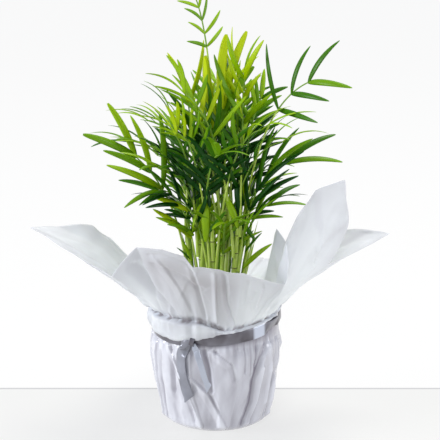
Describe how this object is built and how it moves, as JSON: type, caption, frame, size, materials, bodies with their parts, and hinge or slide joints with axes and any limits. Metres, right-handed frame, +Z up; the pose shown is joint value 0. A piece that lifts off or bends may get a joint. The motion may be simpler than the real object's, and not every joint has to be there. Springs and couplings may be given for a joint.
{
  "type": "potted parlour palm",
  "caption": "Parlour palm with feathery fronds on a clump of slender stems, in a plastic pot wrapped in a gathered florist's sheet and tied with a satin ribbon.",
  "frame": {"origin": "centre of the flat underside of the wrapped pot, on the pot's axis", "axes": "+Z up along the pot's axis, +X towards the plant's right-hand side as seen from its front, -Y towards its front"},
  "size_m": [0.3617, 0.2751, 0.4598],
  "materials": {
    "pot": "satin",
    "peat": "matte",
    "wrap": "satin",
    "ribbon": "satin",
    "stem": "satin",
    "frond_young": "satin",
    "frond_mid": "satin",
    "frond_old": "satin"
  },
  "bodies": {
    "root": {"pot": "pot", "soil": "peat", "wrap_skirt": "wrap", "wrap_flare": "wrap", "ribbon_band": "ribbon", "ribbon_tie": "ribbon", "stem_1": "stem", "stem_2": "stem", "stem_3": "stem", "stem_4": "stem", "stem_5": "stem", "stem_6": "stem", "stem_7": "stem", "stem_8": "stem", "stem_9": "stem", "stem_10": "stem", "stem_11": "stem", "stem_12": "stem", "frond_low_1": "frond_old", "frond_side_1": "frond_old", "frond_upper_1": "frond_mid", "frond_heart_1": "frond_young", "frond_low_2": "frond_old", "frond_side_2": "frond_old", "frond_upper_2": "frond_mid", "frond_low_3": "frond_old", "frond_side_3": "frond_old", "frond_upper_3": "frond_mid", "frond_heart_3": "frond_young", "frond_low_4": "frond_old", "frond_side_4": "frond_old", "frond_upper_4": "frond_mid", "frond_low_5": "frond_old", "frond_side_5": "frond_old", "frond_upper_5": "frond_mid", "frond_heart_5": "frond_young", "frond_low_6": "frond_old", "frond_side_6": "frond_old", "frond_upper_6": "frond_mid", "frond_low_7": "frond_old", "frond_side_7": "frond_old", "frond_upper_7": "frond_mid", "frond_heart_7": "frond_young", "frond_low_8": "frond_old", "frond_side_8": "frond_old", "frond_upper_8": "frond_mid", "frond_low_9": "frond_old", "frond_side_9": "frond_old", "frond_upper_9": "frond_mid", "frond_heart_9": "frond_young", "frond_low_10": "frond_old", "frond_side_10": "frond_old", "frond_upper_10": "frond_mid", "frond_low_11": "frond_old", "frond_side_11": "frond_old", "frond_upper_11": "frond_mid", "frond_heart_11": "frond_young", "frond_low_12": "frond_old", "frond_side_12": "frond_old", "frond_upper_12": "frond_mid"}
  },
  "joints": []
}
